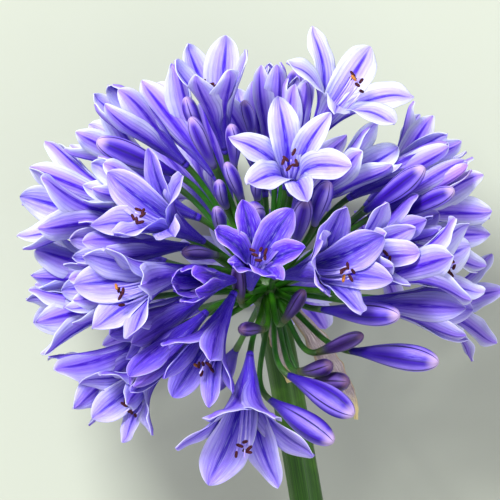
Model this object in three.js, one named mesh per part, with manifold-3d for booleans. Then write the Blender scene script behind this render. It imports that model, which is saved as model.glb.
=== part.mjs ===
// Cut flowering stem of an agapanthus: an umbel of funnel-shaped florets and buds on a leafless scape, lying on a
// surface. Millimetres, +Z up, the surface at z = 0. The scape runs from the head towards -Y, down to its cut end.
import * as THREE from "three";
import { mergeVertices } from "three/addons/utils/BufferGeometryUtils.js";
import Module from "manifold-3d";

const wasm = await Module();
wasm.setup();

// ---------------------------------------------------------------- driving dimensions
const HUB_HEIGHT = 84; // the point where all pedicels meet, over the surface
const HUB_RADIUS = 8.5; // swollen top of the scape that carries the pedicels
const SCAPE_RADIUS = 6.6; // under the head
const CUT_RADIUS = 7.4; // at the cut end
const SCAPE_REACH = 245; // from the hub to the cut end, along -Y
const SCAPE_SWAY = 34; // how far the cut end lies to the side
const SCAPE_SIDES = 12;
const SCAPE_STEPS = 7;
const PEDICEL_RADIUS = 1.3;
const PEDICEL_SIDES = 3;
const PEDICEL_STEPS = 3;
const SEAT = 0.3; // gap between a pedicel's end and its floret

const TUBE_LENGTH = 13; // the part of a floret where its tepals are joined
const BASE_RADIUS = 1.7;
const THROAT_RADIUS = 3.7; // where the tepals part
const TEPAL_LENGTH = 34;
const INNER_HALF_WIDTH = 7; // the three broad tepals
const OUTER_HALF_WIDTH = 5.9; // the three narrow ones
const THICKNESS = 0.75;
const PIT_DEPTH = 8; // how far the hollow of the throat goes down the tube
const MIDRIB_STEPS = 20;
const ROWS = [9, 17]; // rows of vertices along a tepal, in midrib steps
const TEPALS = 6;

const THROAT_SLOPE = 11; // degrees from the floret's axis
const OPEN_SLOPE = 62; // added towards the tips of an open floret
const CLOSE_SLOPE = 46; // taken away towards the tips of a closed one

const PIT_RADIUS = 1.2; // the floor of the hollow, from which the stamens grow
const STAMEN_LENGTH = 20; // over the throat
const FILAMENT_RADIUS = 0.5;
const ANTHER_RADIUS = 0.95;
const ANTHER_LENGTH = 3.4;

const CLEAR = 0.6; // what a tepal keeps from the surface
const STRETCH = 3; // how much longer a floret gets where its tepals are bent inwards
const PRESS = 0.5; // how much of a resting petal is pressed flat
const FOLDS = [0, 6, -6, 12, -12, 18, -18, 25, -25, 32, 40, 48]; // degrees tried in turn to bend a tepal clear

const rad = THREE.MathUtils.degToRad;
const degrees = THREE.MathUtils.radToDeg;
const clamp = THREE.MathUtils.clamp;
const smooth = THREE.MathUtils.smoothstep;

// ---------------------------------------------------------------- florets and buds, chosen by hand
// Each row: where its axis ends, x and y from the hub; the way it heads, in degrees from +X towards +Y; its tilt up
// from the horizontal; its pedicel's reach; how far it is open, from 0 to 1; its roll; its size.
const OPEN_FLORETS = [
  [9, 56, 90, 64, 50, 0.92, 44, 1],
  [34, 12, 13, 50, 46, 0.72, 53, 1.1],
  [-64, 2, 190, 35, 48, 0.75, 25, 1.18],
  [-53, 35, 150, 45, 50, 0.8, 17, 1.06],
  [-97, 31, 176, 14, 62, 0.55, 10, 1.1],
  [-93, 48, 158, -14, 59.6, 0.55, 30, 1.05],
  [-24, 93, 100, 35, 66, 0.5, 0, 1],
  [-48, 84, 125, -5, 53, 0.5, 20, 1.05],
  [34, 86, 57, 33, 62, 0.95, 30, 1.18],
  [46, 56, 35, 25, 42, 0.55, 15, 1],
  [86, 38, 12, -10, 54, 0.55, 0, 1],
  [77, 15, 18, 14, 52, 0.75, 30, 1.12],
  [53, 18, 15, 38, 40, 0.55, 0, 0.95],
  [81, -8, -4, 10, 38.5, 0.4, 30, 1.05],
  [-10, -63, 266, 40, 46, 0.82, 0, 1.28],
  [-31, -35, 243, 33, 44, 0.65, 20, 1.02],
  [-3, 21, 78, 58, 42, 0.75, 0, 0.85],
  [-93, 10, 172, 0, 50, 0.55, 0, 1.05],
  [-93, -12, 191, 6, 52, 0.6, 30, 1.05],
  [-80, -40, 210, -4, 51, 0.6, 0, 1.05],
  [-62, -47, 222, 30, 52, 0.75, 20, 0.88],
  [-57, -20, 210, 22, 38, 0.5, 10, 0.95],
  [-76, 66, 148, -4, 57, 0.5, 20, 1],
  [-70, 46, 158, 15, 50, 0.45, 0, 1],
  [70, 66, 47, -5, 54.2, 0.55, 10, 0.95],
  [87, 22, 0, -8, 48.6, 0.55, 30, 1],
  [65, 29, 24, 18, 42, 0.5, 30, 0.92],
  [-80, -2, 186, 14, 46, 0.45, 15, 1],
];
const HALF_OPEN_FLORETS = [
  [-76, 16, 182, 25, 50, 0.3, 0, 1],
  [-65, 80, 137, 25, 63, 0.25, 0, 1],
  [14, 84, 81, 20, 46.6, 0.3, 0, 0.95],
  [72, 59, 29, 20, 55, 0.3, 0, 1],
  [79, 52, 31, 6, 60, 0.3, 20, 0.9],
  [-34, 3, 183, 62, 47, 0.25, 0, 0.85],
  [-55, -38, 224, 30, 48, 0.3, 0, 1],
  [0, 92, 93, 10, 46.7, 0.25, 0, 1],
];
// Florets deeper in the head, which show between the others.
const INNER_FLORETS = [
  [-9, 82, 100, -4, 39, 0.5, 50, 0.95],
  [-26, 73, 105, -17, 36, 0.5, 30, 0.95],
];
// Each row: where its tip is, x and y from the hub; heading; tilt; its pedicel's reach; length; greatest radius.
const LARGE_BUDS = [
  [-69, 60, 157, 26, 62, 38, 5.2],
  [11.5, 90, 83, -12, 58.5, 33, 4.4],
  [62, 49, 37, 37, 60, 36, 4.4],
  [74, 40, 27, 40, 69, 30, 3.8],
  [52, -10, -4, 36, 45, 38, 4.8],
  [68, -29, -7, 28, 50, 40, 5.4],
  [34, -50, -31, 33, 45, 36, 5.2],
  [26, -61, -33, 33, 50, 36, 5.2],
];
const SMALL_BUDS = [
  [38, -18, 22, 37, 42, 24, 2.9],
  [14, 0, 58, 43, 40, 20, 2.6],
  [25, -30, 14, 50, 42, 20, 3.2],
  [32, -37, 3, 48, 46, 22, 3.6],
  [-12, 10, 94, 48, 32, 22, 2.9],
  [-11, -16, 180, 62, 38, 18, 2.6],
  [-34, 15, 175, 53, 44, 22, 2.7],
  [-6, 32, 100, 78, 40, 26, 4.4],
  [-21, 33, 100, 60, 38, 22, 2.6],
  [15, 36, 77, 46, 40, 26, 3.6],
  [24, 43, 72, 48, 46, 26, 3.4],
  [-33, 77, 114, 46, 71, 26, 2.8],
  [-31, 69, 115, 40, 61, 28, 3.0],
  [-10, 76, 104, 48, 66, 20, 2.4],
  [-15, 66, 94, 49, 62, 24, 2.8],
  [-17, 51, 113, 45, 45, 22, 2.6],
  [-20, 44, 106, 53, 42, 18, 2.4],
  [-4, 46, 88, 55, 44, 16, 2.4],
];
// The two florets of the under side whose petals carry the head: heading and tilt.
const RESTING_FLORETS = [
  [196, -52],
  [18, -50],
];
// The rest of the under side is filled along a golden spiral from straight down to the rim, where there is room.
const UNDER_SITES = 36;
const UNDER_LOW = -0.98; // sine of the tilt of the first site
const UNDER_HIGH = -0.3; // and of the last one
const UNDER_APART = 24; // degrees between neighbours
const UNDER_REACH = 46;
const GOLDEN_ANGLE = 137.508;
const SCAPE_HEADING = 278; // few florets hang on this side, under the scape
const SCAPE_SIDE = 62; // degrees
const SCAPE_SIDE_LOW = -0.8;

// The two dry bracts that once sheathed the head: points from the hub, widths along them, the side they face.
const BRACTS = [
  {
    points: [[11, -9, -7], [20, -20, -7], [26, -31, -5], [32, -40, -3], [35.5, -47, -1], [36, -53, 1]],
    widths: [5, 9, 10, 6, 2.4, 1.6],
    facing: [0.3, 0.2, 1],
    cup: 0.35,
  },
  {
    points: [[0.7, -11, 4.2], [3.2, -20, 2.2], [6.2, -30, 0.9], [8.7, -38, 1.4]],
    widths: [4, 6, 5, 2],
    facing: [-0.2, 0.1, 1],
    cup: 0.3,
  },
];
const BRACT_ROWS = 7;
const BRACT_THICKNESS = 0.7;

// ---------------------------------------------------------------- forms
/** A number from 0 to 1 that depends on the seed alone. */
function chance(seed) {
  const x = Math.sin(seed * 12.9898) * 43758.5453;
  return x - Math.floor(x);
}

/** Slope of a tepal's midrib from its floret's axis, in degrees. */
function slope(floret, tepal, t) {
  const spread = floret.open * OPEN_SLOPE * smooth(t, 0, 0.9);
  const closing = (1 - floret.open) * CLOSE_SLOPE * smooth(t, 0.35, 1);
  const own = floret.lean[tepal] * t - floret.fold[tepal] * smooth(t, 0, 0.5);
  return THROAT_SLOPE + spread - closing + own;
}

/** Points of a tepal's midrib: out from the axis, up along it, and the slope there. */
function midrib(floret, tepal) {
  const step = (TEPAL_LENGTH * floret.size) / MIDRIB_STEPS;
  const points = [];
  let out = THROAT_RADIUS;
  let up = TUBE_LENGTH;
  for (let i = 0; i <= MIDRIB_STEPS; i += 1) {
    const angle = rad(slope(floret, tepal, i / MIDRIB_STEPS));
    points.push({ out, up, angle });
    out = Math.max(out + Math.sin(angle) * step, 0.8);
    up += Math.cos(angle) * step;
  }
  return points;
}

/** Half the width of a tepal at t along it. It stays within its sixth of the circle, clear of its neighbours. */
function halfWidth(floret, tepal, t, { out, angle }) {
  const widest = (tepal % 2 ? OUTER_HALF_WIDTH : INNER_HALF_WIDTH) * floret.size;
  const swell = 0.36 + 0.64 * Math.sin((Math.min(t / 0.6, 1) * Math.PI) / 2);
  const taper = (1 - Math.max((t - 0.6) / 0.4, 0) ** 2.4) ** 0.6;
  const nearest = out * (1 - 0.14 * Math.abs(Math.cos(angle))) - THICKNESS / 2;
  return Math.min(widest * swell * taper, nearest * Math.tan(Math.PI / TEPALS) * 0.96);
}

/** A point of a tepal in its floret's frame: across from -1 to 1, face 1 inside and -1 outside. */
function tepalPoint(floret, tepal, rib, step, across, face) {
  const { out, up, angle } = rib[step];
  const half = halfWidth(floret, tepal, step / MIDRIB_STEPS, rib[step]);
  const lift = (across * across * half * half) / (2 * out) + (face * THICKNESS) / 2;
  const around = rad(floret.roll) + (tepal * 2 * Math.PI) / TEPALS;
  const radial = out - Math.cos(angle) * lift;
  const sideways = half * across;
  return new THREE.Vector3(
    Math.cos(around) * radial - Math.sin(around) * sideways,
    Math.sin(around) * radial + Math.cos(around) * sideways,
    up + Math.sin(angle) * lift,
  );
}

/** The form of a floret: its own lean for each tepal, and its length from its base to its mouth. */
function floretForm(seed, open, roll, size) {
  const none = new Array(TEPALS).fill(0);
  const form = { seed, open, roll, size, lean: none, fold: [...none] };
  const length = midrib(form, 0)[MIDRIB_STEPS].up;
  return { ...form, length, lean: none.map((_, k) => (chance(seed + k * 0.37) - 0.5) * 16) };
}

/** Radius of a bud at s along it, from 0 at its base to 1 at its tip. */
function budRadius(bud, s) {
  const club = Math.sin((Math.min(s / 0.68, 1) * Math.PI) / 2) ** 1.5;
  const point = Math.sqrt(1 - Math.max((s - 0.68) / 0.32, 0) ** 2);
  const foot = BASE_RADIUS * 0.8;
  return (foot + (bud.radius - foot) * club) * point;
}

// ---------------------------------------------------------------- places
/** Unit vectors of a floret: a side, the way up and its axis, from its heading and tilt. */
function axes(heading, tilt) {
  const h = rad(heading);
  const t = rad(tilt);
  return {
    side: new THREE.Vector3(-Math.sin(h), Math.cos(h), 0),
    up: new THREE.Vector3(-Math.sin(t) * Math.cos(h), -Math.sin(t) * Math.sin(h), Math.cos(t)),
    along: new THREE.Vector3(Math.cos(t) * Math.cos(h), Math.cos(t) * Math.sin(h), Math.sin(t)),
  };
}

/** A floret's frame as a matrix. */
function frameOf(floret) {
  return new THREE.Matrix4().makeBasis(floret.side, floret.up, floret.along).setPosition(floret.base);
}

/** Puts a form where its axis ends at x, y. Its base is then as high as its pedicel reaches. */
function placeByEnd(name, form, x, y, heading, tilt, reach) {
  const frame = axes(heading, tilt);
  const base = new THREE.Vector3(x, y, 0).addScaledVector(frame.along, -form.length);
  base.z = Math.sqrt(Math.max(reach ** 2 - base.x ** 2 - base.y ** 2, 0));
  return { name, ...form, ...frame, base };
}

/** Puts a form straight out from the hub, as far as its pedicel reaches or the surface lets it. */
function placeOutward(name, form, heading, tilt, reach) {
  const frame = axes(heading, tilt);
  const breadth = form.radius ?? 6 + 15 * form.open;
  const room = (HUB_HEIGHT - CLEAR - breadth * frame.up.z) / -frame.along.z - form.length - STRETCH;
  const base = frame.along.clone().multiplyScalar(Math.min(reach, room));
  return { name, ...form, ...frame, base };
}

function blooming(rows, name, firstSeed) {
  return rows.map(([x, y, heading, tilt, reach, open, roll, size], i) =>
    placeByEnd(name + (i + 1), floretForm(firstSeed + i, open, roll, size), x, y, heading, tilt, reach),
  );
}

function budding(rows, name) {
  return rows.map(([x, y, heading, tilt, reach, length, radius], i) =>
    placeByEnd(name + (i + 1), { length, radius }, x, y, heading, tilt, reach),
  );
}

const openFlorets = blooming(OPEN_FLORETS, "open_floret_", 1);
const halfOpenFlorets = blooming(HALF_OPEN_FLORETS, "half_open_floret_", 31);
const innerFlorets = blooming(INNER_FLORETS, "inner_floret_", 41);
const largeBuds = budding(LARGE_BUDS, "bud_");
const smallBuds = budding(SMALL_BUDS, "small_bud_");
const restingFlorets = RESTING_FLORETS.map(([heading, tilt], i) =>
  placeOutward("resting_floret_" + (i + 1), floretForm(51 + i, 0.9, 20, 1), heading, tilt, 60),
);

/** The florets and buds of the under side: every third is a bud. */
function underSide() {
  const placed = [...openFlorets, ...halfOpenFlorets, ...largeBuds, ...restingFlorets];
  const found = [];
  for (let i = 0; i < UNDER_SITES; i += 1) {
    const down = UNDER_LOW + ((UNDER_HIGH - UNDER_LOW) * i) / (UNDER_SITES - 1);
    const heading = (i * GOLDEN_ANGLE) % 360;
    const tilt = degrees(Math.asin(down));
    const { along } = axes(heading, tilt);
    const crowded = [...placed, ...found].some((f) => degrees(f.base.angleTo(along)) < UNDER_APART);
    const beside = Math.abs(((heading - SCAPE_HEADING + 540) % 360) - 180) < SCAPE_SIDE && down > SCAPE_SIDE_LOW;
    if (crowded || beside) {
      continue;
    }
    const number = found.length + 1;
    const reach = UNDER_REACH + 9 * chance(i + 0.3);
    if (number % 3) {
      const form = floretForm(60 + i, 0.7 + 0.2 * chance(i), 60 * chance(i + 0.6), 1);
      found.push(placeOutward("under_floret_" + number, form, heading, tilt, reach));
    } else {
      found.push(placeOutward("under_bud_" + number, { length: 36, radius: 4.5 }, heading, tilt, reach));
    }
  }
  return found;
}

const under = underSide();
const upperFlorets = [...openFlorets, ...halfOpenFlorets, ...innerFlorets];
const florets = [...upperFlorets, ...restingFlorets, ...under.filter((f) => !f.radius)];
const buds = [...largeBuds, ...under.filter((f) => f.radius)];
const everyone = [...florets, ...buds, ...smallBuds];

// ---------------------------------------------------------------- tepals bend clear of their neighbours
/** How far out a point is from a floret's axis, as a share of the room that the floret takes there. */
function share(floret, point) {
  const off = point.clone().sub(floret.base);
  const high = clamp(off.dot(floret.along), 0, floret.length);
  const away = off.addScaledVector(floret.along, -high).length();
  if (floret.radius) {
    return away / (budRadius(floret, clamp(high / floret.length, 0.1, 0.8)) + 1);
  }
  return away / (THROAT_RADIUS + 1.2 + floret.open * 19 * smooth(high, TUBE_LENGTH * 0.6, floret.length));
}

/** Whether a tepal's point lies in a neighbour's room or under the surface. */
function blocked(floret, point) {
  if (point.z + HUB_HEIGHT < CLEAR + THICKNESS) {
    return true;
  }
  const own = share(floret, point);
  return everyone.some((other) => {
    const theirs = other === floret ? Infinity : share(other, point);
    return other.radius ? theirs < 1 : theirs < 1.1 && theirs < own * 1.06;
  });
}

/** Bends each tepal by the first angle that keeps it in its floret's own room, or by the one that comes nearest. */
function bendClear(floret) {
  const frame = frameOf(floret);
  for (let tepal = 0; tepal < TEPALS; tepal += 1) {
    let fewest = Infinity;
    let chosen = 0;
    for (const fold of FOLDS) {
      floret.fold[tepal] = fold;
      const rib = midrib(floret, tepal);
      let hits = 0;
      for (const step of [...ROWS, MIDRIB_STEPS]) {
        for (const across of [-1, 0, 1]) {
          const point = tepalPoint(floret, tepal, rib, step, across, 0).applyMatrix4(frame);
          hits += blocked(floret, point) ? 1 : 0;
        }
      }
      if (hits < fewest) {
        fewest = hits;
        chosen = fold;
      }
      if (fewest === 0) {
        break;
      }
    }
    floret.fold[tepal] = chosen;
  }
}
florets.forEach(bendClear);

// ---------------------------------------------------------------- meshes
/** A closed mesh from vertices and triangles. */
function meshOf(vertices, triangles) {
  const geometry = new THREE.BufferGeometry();
  const numbers = vertices.flatMap((v) => [v.x, v.y, v.z]);
  geometry.setAttribute("position", new THREE.Float32BufferAttribute(numbers, 3));
  geometry.setIndex(triangles.flat());
  return geometry;
}

function ringPoint(radius, height, angle) {
  return new THREE.Vector3(Math.cos(angle) * radius, Math.sin(angle) * radius, height);
}

/** The triangles of a stamen: three-sided, from its root on the pit's floor to the anther at its end. */
function stamen(floret, number, root, add) {
  const around = rad(floret.roll) + (2 * Math.PI * (number + 0.5)) / TEPALS;
  const out = 3 + 3 * chance(floret.seed + number * 0.71);
  const top = TUBE_LENGTH + STAMEN_LENGTH;
  const corners = (middle, radius) =>
    [180, -60, 60].map((turn) => add(ringPoint(radius, 0, around + rad(turn)).add(middle)));
  const rings = [
    root,
    corners(ringPoint(out, top, around), FILAMENT_RADIUS),
    corners(ringPoint(out + 0.8, top + ANTHER_LENGTH / 2, around), ANTHER_RADIUS),
  ];
  const tip = add(ringPoint(out + 1.2, top + ANTHER_LENGTH, around));
  const triangles = [];
  for (let k = 0; k < 3; k += 1) {
    const next = (k + 1) % 3;
    for (const [low, high] of [[rings[0], rings[1]], [rings[1], rings[2]]]) {
      triangles.push([low[k], low[next], high[next]], [low[k], high[next], high[k]]);
    }
    triangles.push([rings[2][k], rings[2][next], tip]);
  }
  return triangles;
}

/** A floret in its own frame: a six-sided tube that widens to the throat, six keeled tepals and the stamens. */
function perianth(floret) {
  const vertices = [];
  const triangles = [];
  const add = (v) => vertices.push(v) - 1;
  const roll = rad(floret.roll);
  const sixth = (2 * Math.PI) / TEPALS;
  const base = [];
  const outer = [];
  const inner = [];
  for (let k = 0; k < TEPALS; k += 1) {
    base.push(add(ringPoint(BASE_RADIUS, 0, roll + k * sixth)));
  }
  for (let m = 0; m < 2 * TEPALS; m += 1) {
    const angle = roll + (m * sixth) / 2;
    outer.push(add(ringPoint(THROAT_RADIUS + THICKNESS / 2, TUBE_LENGTH, angle)));
    inner.push(add(ringPoint(THROAT_RADIUS - THICKNESS / 2, TUBE_LENGTH, angle)));
  }
  const floor = Array.from({ length: TEPALS }, (_, k) =>
    add(ringPoint(PIT_RADIUS, TUBE_LENGTH - PIT_DEPTH, roll + k * sixth)),
  );
  const centre = add(new THREE.Vector3(0, 0, TUBE_LENGTH - PIT_DEPTH));
  for (let k = 0; k < TEPALS; k += 1) {
    const next = (k + 1) % TEPALS;
    const low = 2 * k;
    const middle = 2 * k + 1;
    const high = (2 * k + 2) % (2 * TEPALS);
    triangles.push([base[k], base[next], outer[middle]], [base[k], outer[middle], outer[low]]);
    triangles.push([base[next], outer[high], outer[middle]]);
    triangles.push([floor[next], floor[k], inner[middle]], [floor[k], inner[low], inner[middle]]);
    triangles.push([floor[next], inner[middle], inner[high]]);
    if (k > 0 && k < TEPALS - 1) {
      triangles.push([base[0], base[next], base[k]]);
    }
    const root = [centre, floor[k], floor[next]];
    triangles.push(...(k % 2 && floret.open > 0.5 ? stamen(floret, k, root, add) : [root]));
  }
  for (let k = 0; k < TEPALS; k += 1) {
    const rib = midrib(floret, k);
    const columns = [(2 * k + 2 * TEPALS - 1) % (2 * TEPALS), 2 * k, 2 * k + 1];
    let lowOut = columns.map((m) => outer[m]);
    let lowIn = columns.map((m) => inner[m]);
    for (const step of ROWS) {
      const highOut = [-1, 0, 1].map((across) => add(tepalPoint(floret, k, rib, step, across, -1)));
      const highIn = [-1, 0, 1].map((across) => add(tepalPoint(floret, k, rib, step, across, 1)));
      triangles.push([lowOut[1], lowOut[2], highOut[2]], [lowOut[1], highOut[2], highOut[1]]);
      triangles.push([lowOut[1], highOut[0], lowOut[0]], [lowOut[1], highOut[1], highOut[0]]);
      triangles.push([lowIn[1], highIn[2], lowIn[2]], [lowIn[1], highIn[1], highIn[2]]);
      triangles.push([lowIn[1], lowIn[0], highIn[0]], [lowIn[1], highIn[0], highIn[1]]);
      triangles.push([lowOut[2], lowIn[2], highIn[2]], [lowOut[2], highIn[2], highOut[2]]);
      triangles.push([lowOut[0], highIn[0], lowIn[0]], [lowOut[0], highOut[0], highIn[0]]);
      lowOut = highOut;
      lowIn = highIn;
    }
    const tipOut = add(tepalPoint(floret, k, rib, MIDRIB_STEPS, 0, -1));
    const tipIn = add(tepalPoint(floret, k, rib, MIDRIB_STEPS, 0, 1));
    triangles.push([lowOut[0], lowOut[1], tipOut], [lowOut[1], lowOut[2], tipOut]);
    triangles.push([lowIn[0], tipIn, lowIn[1]], [lowIn[1], tipIn, lowIn[2]]);
    triangles.push([lowOut[2], lowIn[2], tipIn], [lowOut[2], tipIn, tipOut]);
    triangles.push([lowOut[0], tipIn, lowIn[0]], [lowOut[0], tipOut, tipIn]);
  }
  return meshOf(vertices, triangles);
}

/** A solid through rings of vertices. Its ends are flat, and the last ring may be a single point. */
function loft(rings) {
  const vertices = [];
  const triangles = [];
  const indexed = rings.map((ring) => ring.map((v) => vertices.push(v) - 1));
  for (let i = 0; i + 1 < indexed.length; i += 1) {
    const low = indexed[i];
    const high = indexed[i + 1];
    for (let k = 0; k < low.length; k += 1) {
      const next = (k + 1) % low.length;
      if (high.length === 1) {
        triangles.push([low[k], low[next], high[0]]);
      } else {
        triangles.push([low[k], low[next], high[next]], [low[k], high[next], high[k]]);
      }
    }
  }
  const first = indexed[0];
  const last = indexed[indexed.length - 1];
  for (let k = 1; k + 1 < first.length; k += 1) {
    triangles.push([first[0], first[k + 1], first[k]]);
  }
  for (let k = 1; k + 1 < last.length; k += 1) {
    triangles.push([last[0], last[k], last[k + 1]]);
  }
  return meshOf(vertices, triangles);
}

const BUD_RINGS = [0, 0.28, 0.6, 0.84];

/** A closed bud in its own frame: a ribbed club with a pointed tip. */
function budSolid(bud, sides) {
  const ring = (s) =>
    Array.from({ length: sides }, (_, k) => ringPoint(budRadius(bud, s), s * bud.length, (k * 2 * Math.PI) / sides));
  return loft([...BUD_RINGS.map(ring), [new THREE.Vector3(0, 0, bud.length)]]);
}

/** A stalk along a curve, thick and thin as the radius function says. */
function stalk(curve, sides, steps, radius) {
  const rings = [];
  const across = new THREE.Vector3(0.31, 0.17, 0.94).cross(curve.getTangentAt(0));
  for (let i = 0; i <= steps; i += 1) {
    const along = curve.getTangentAt(i / steps);
    across.addScaledVector(along, -across.dot(along)).normalize();
    const other = along.clone().cross(across);
    const ring = Array.from({ length: sides }, (_, k) => {
      const offset = ringPoint(radius(i / steps), 0, (k * 2 * Math.PI) / sides);
      return curve.getPointAt(i / steps).addScaledVector(across, offset.x).addScaledVector(other, offset.y);
    });
    rings.push(ring);
  }
  return loft(rings);
}

// ---------------------------------------------------------------- solids
/** A geometry as a manifold-3d solid. */
function solid(geometry) {
  const merged = mergeVertices(geometry, 1e-4);
  const mesh = new wasm.Mesh({
    numProp: 3,
    vertProperties: new Float32Array(merged.attributes.position.array),
    triVerts: new Uint32Array(merged.index.array),
  });
  return new wasm.Manifold(mesh);
}

/** The geometry of a manifold-3d solid. */
function geometryOf(manifold) {
  const mesh = manifold.getMesh();
  const geometry = new THREE.BufferGeometry();
  geometry.setAttribute("position", new THREE.BufferAttribute(new Float32Array(mesh.vertProperties), 3));
  geometry.setIndex(new THREE.BufferAttribute(new Uint32Array(mesh.triVerts), 1));
  return geometry;
}

/** Cuts off what a solid has below the surface, which leaves it a small flat spot to rest on. */
function pressedFlat(manifold) {
  const below = new THREE.BoxGeometry(800, 800, 20).deleteAttribute("normal").deleteAttribute("uv");
  below.translate(0, 0, -HUB_HEIGHT - 10);
  return geometryOf(manifold.subtract(solid(below)));
}

/** A resting floret, lowered until its lowest petal is pressed into the surface. */
function settled(floret) {
  const loose = perianth(floret).applyMatrix4(frameOf(floret));
  loose.computeBoundingBox();
  const drop = -HUB_HEIGHT - PRESS - loose.boundingBox.min.z;
  floret.base.z += drop;
  return pressedFlat(solid(loose.translate(0, 0, drop)));
}

/** The pedicel of a floret or bud, from inside the hub to its base. Small buds grow on theirs without a gap. */
function pedicel(floret) {
  const outward = floret.base.clone().normalize();
  const reach = floret.base.length();
  const end = floret.base.clone().addScaledVector(floret.along, smallBuds.includes(floret) ? 1 : -SEAT);
  const curve = new THREE.CubicBezierCurve3(
    outward.clone().multiplyScalar(HUB_RADIUS * 0.8),
    outward.clone().multiplyScalar(reach * 0.5),
    end.clone().addScaledVector(floret.along, -reach * 0.28),
    end,
  );
  return stalk(curve, PEDICEL_SIDES, PEDICEL_STEPS, (s) => PEDICEL_RADIUS * (1 + 0.25 * s ** 4));
}

/** The scape with its swollen top, every pedicel and the small buds, grown as one. */
function greenParts() {
  const drop = CUT_RADIUS * 0.9 - HUB_HEIGHT;
  const curve = new THREE.CubicBezierCurve3(
    new THREE.Vector3(0, 2, 0),
    new THREE.Vector3(SCAPE_SWAY * 0.45, -SCAPE_REACH * 0.33, drop * 0.3),
    new THREE.Vector3(SCAPE_SWAY * 0.9, -SCAPE_REACH * 0.66, drop * 0.66),
    new THREE.Vector3(SCAPE_SWAY, -SCAPE_REACH, drop),
  );
  const thickness = (s) => SCAPE_RADIUS + (CUT_RADIUS - SCAPE_RADIUS) * s;
  const hub = new THREE.IcosahedronGeometry(HUB_RADIUS, 1).deleteAttribute("normal").deleteAttribute("uv");
  const pieces = [solid(stalk(curve, SCAPE_SIDES, SCAPE_STEPS, thickness)), solid(hub)];
  for (const bud of smallBuds) {
    pieces.push(solid(budSolid(bud, 5).applyMatrix4(frameOf(bud))));
  }
  for (const floret of everyone) {
    pieces.push(solid(pedicel(floret)));
  }
  return pressedFlat(wasm.Manifold.union(pieces));
}

/** A papery bract: a cupped strip through the points of a row, with its width at each, and a drawn-out tip. */
function bract({ points, widths, facing, cup }) {
  const curve = new THREE.CatmullRomCurve3(points.map((p) => new THREE.Vector3(...p)));
  const vertices = [];
  const triangles = [];
  const add = (v) => vertices.push(v) - 1;
  const rows = [];
  for (let i = 0; i <= BRACT_ROWS; i += 1) {
    const s = i / BRACT_ROWS;
    const along = curve.getTangent(s);
    const across = along.clone().cross(new THREE.Vector3(...facing)).normalize();
    const outward = across.clone().cross(along);
    const place = s * (widths.length - 1);
    const low = Math.min(Math.floor(place), widths.length - 2);
    const half = THREE.MathUtils.lerp(widths[low], widths[low + 1], place - low) / 2;
    const row = (face) =>
      [-1, 0, 1].map((side) => {
        const lift = (face * BRACT_THICKNESS) / 2 - cup * half * side * side;
        return add(curve.getPoint(s).addScaledVector(across, side * half).addScaledVector(outward, lift));
      });
    rows.push({ under: row(-1), over: row(1) });
  }
  const quad = (a, b, c, d) => triangles.push([a, b, c], [a, c, d]);
  for (let i = 0; i < BRACT_ROWS; i += 1) {
    const { under: u, over: o } = rows[i];
    const { under: v, over: p } = rows[i + 1];
    for (const k of [0, 1]) {
      quad(o[k], o[k + 1], p[k + 1], p[k]);
      triangles.push([u[k], v[k + 1], u[k + 1]], [u[k], v[k], v[k + 1]]);
    }
    quad(u[0], o[0], p[0], v[0]);
    quad(o[2], u[2], v[2], p[2]);
  }
  const first = rows[0];
  const last = rows[BRACT_ROWS];
  for (const k of [0, 1]) {
    quad(first.under[k], first.under[k + 1], first.over[k + 1], first.over[k]);
    quad(last.over[k], last.over[k + 1], last.under[k + 1], last.under[k]);
  }
  return meshOf(vertices, triangles);
}

// ---------------------------------------------------------------- the plant
const STEM_GREEN = { color: 0x5a8a1e, roughness: 0.5 };
const PETAL_VIOLET = { color: 0x7a68dc, roughness: 0.55 };
const BUD_VIOLET = { color: 0x4a3a9a, roughness: 0.5 };
const BRACT_TAN = { color: 0xb09a80, roughness: 0.85 };

const plant = new THREE.Group();

/** Adds a named mesh to the plant. */
function addMesh(name, geometry, look) {
  const mesh = new THREE.Mesh(geometry, new THREE.MeshStandardMaterial({ ...look, metalness: 0 }));
  mesh.name = name;
  plant.add(mesh);
}

for (const floret of restingFlorets) {
  addMesh(floret.name, settled(floret), PETAL_VIOLET);
}
for (const floret of florets.filter((f) => !restingFlorets.includes(f))) {
  addMesh(floret.name, perianth(floret).applyMatrix4(frameOf(floret)), PETAL_VIOLET);
}
for (const bud of buds) {
  addMesh(bud.name, budSolid(bud, TEPALS).applyMatrix4(frameOf(bud)), BUD_VIOLET);
}
BRACTS.forEach((row, i) => addMesh("bract_" + (i + 1), bract(row), BRACT_TAN));
addMesh("scape_and_pedicels", greenParts(), STEM_GREEN);

// The origin lies on the surface under the middle of the whole, and the hub above it.
const middle = new THREE.Box3().setFromObject(plant).getCenter(new THREE.Vector3());
plant.position.set(-middle.x, -middle.y, HUB_HEIGHT);

export default plant;
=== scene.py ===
"""The looks of a cut agapanthus stem that lies on a plain floor.

Lengths are in millimetres from the hub, the point where all pedicels meet, until a piece is made in metres.
"""

import math

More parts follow.
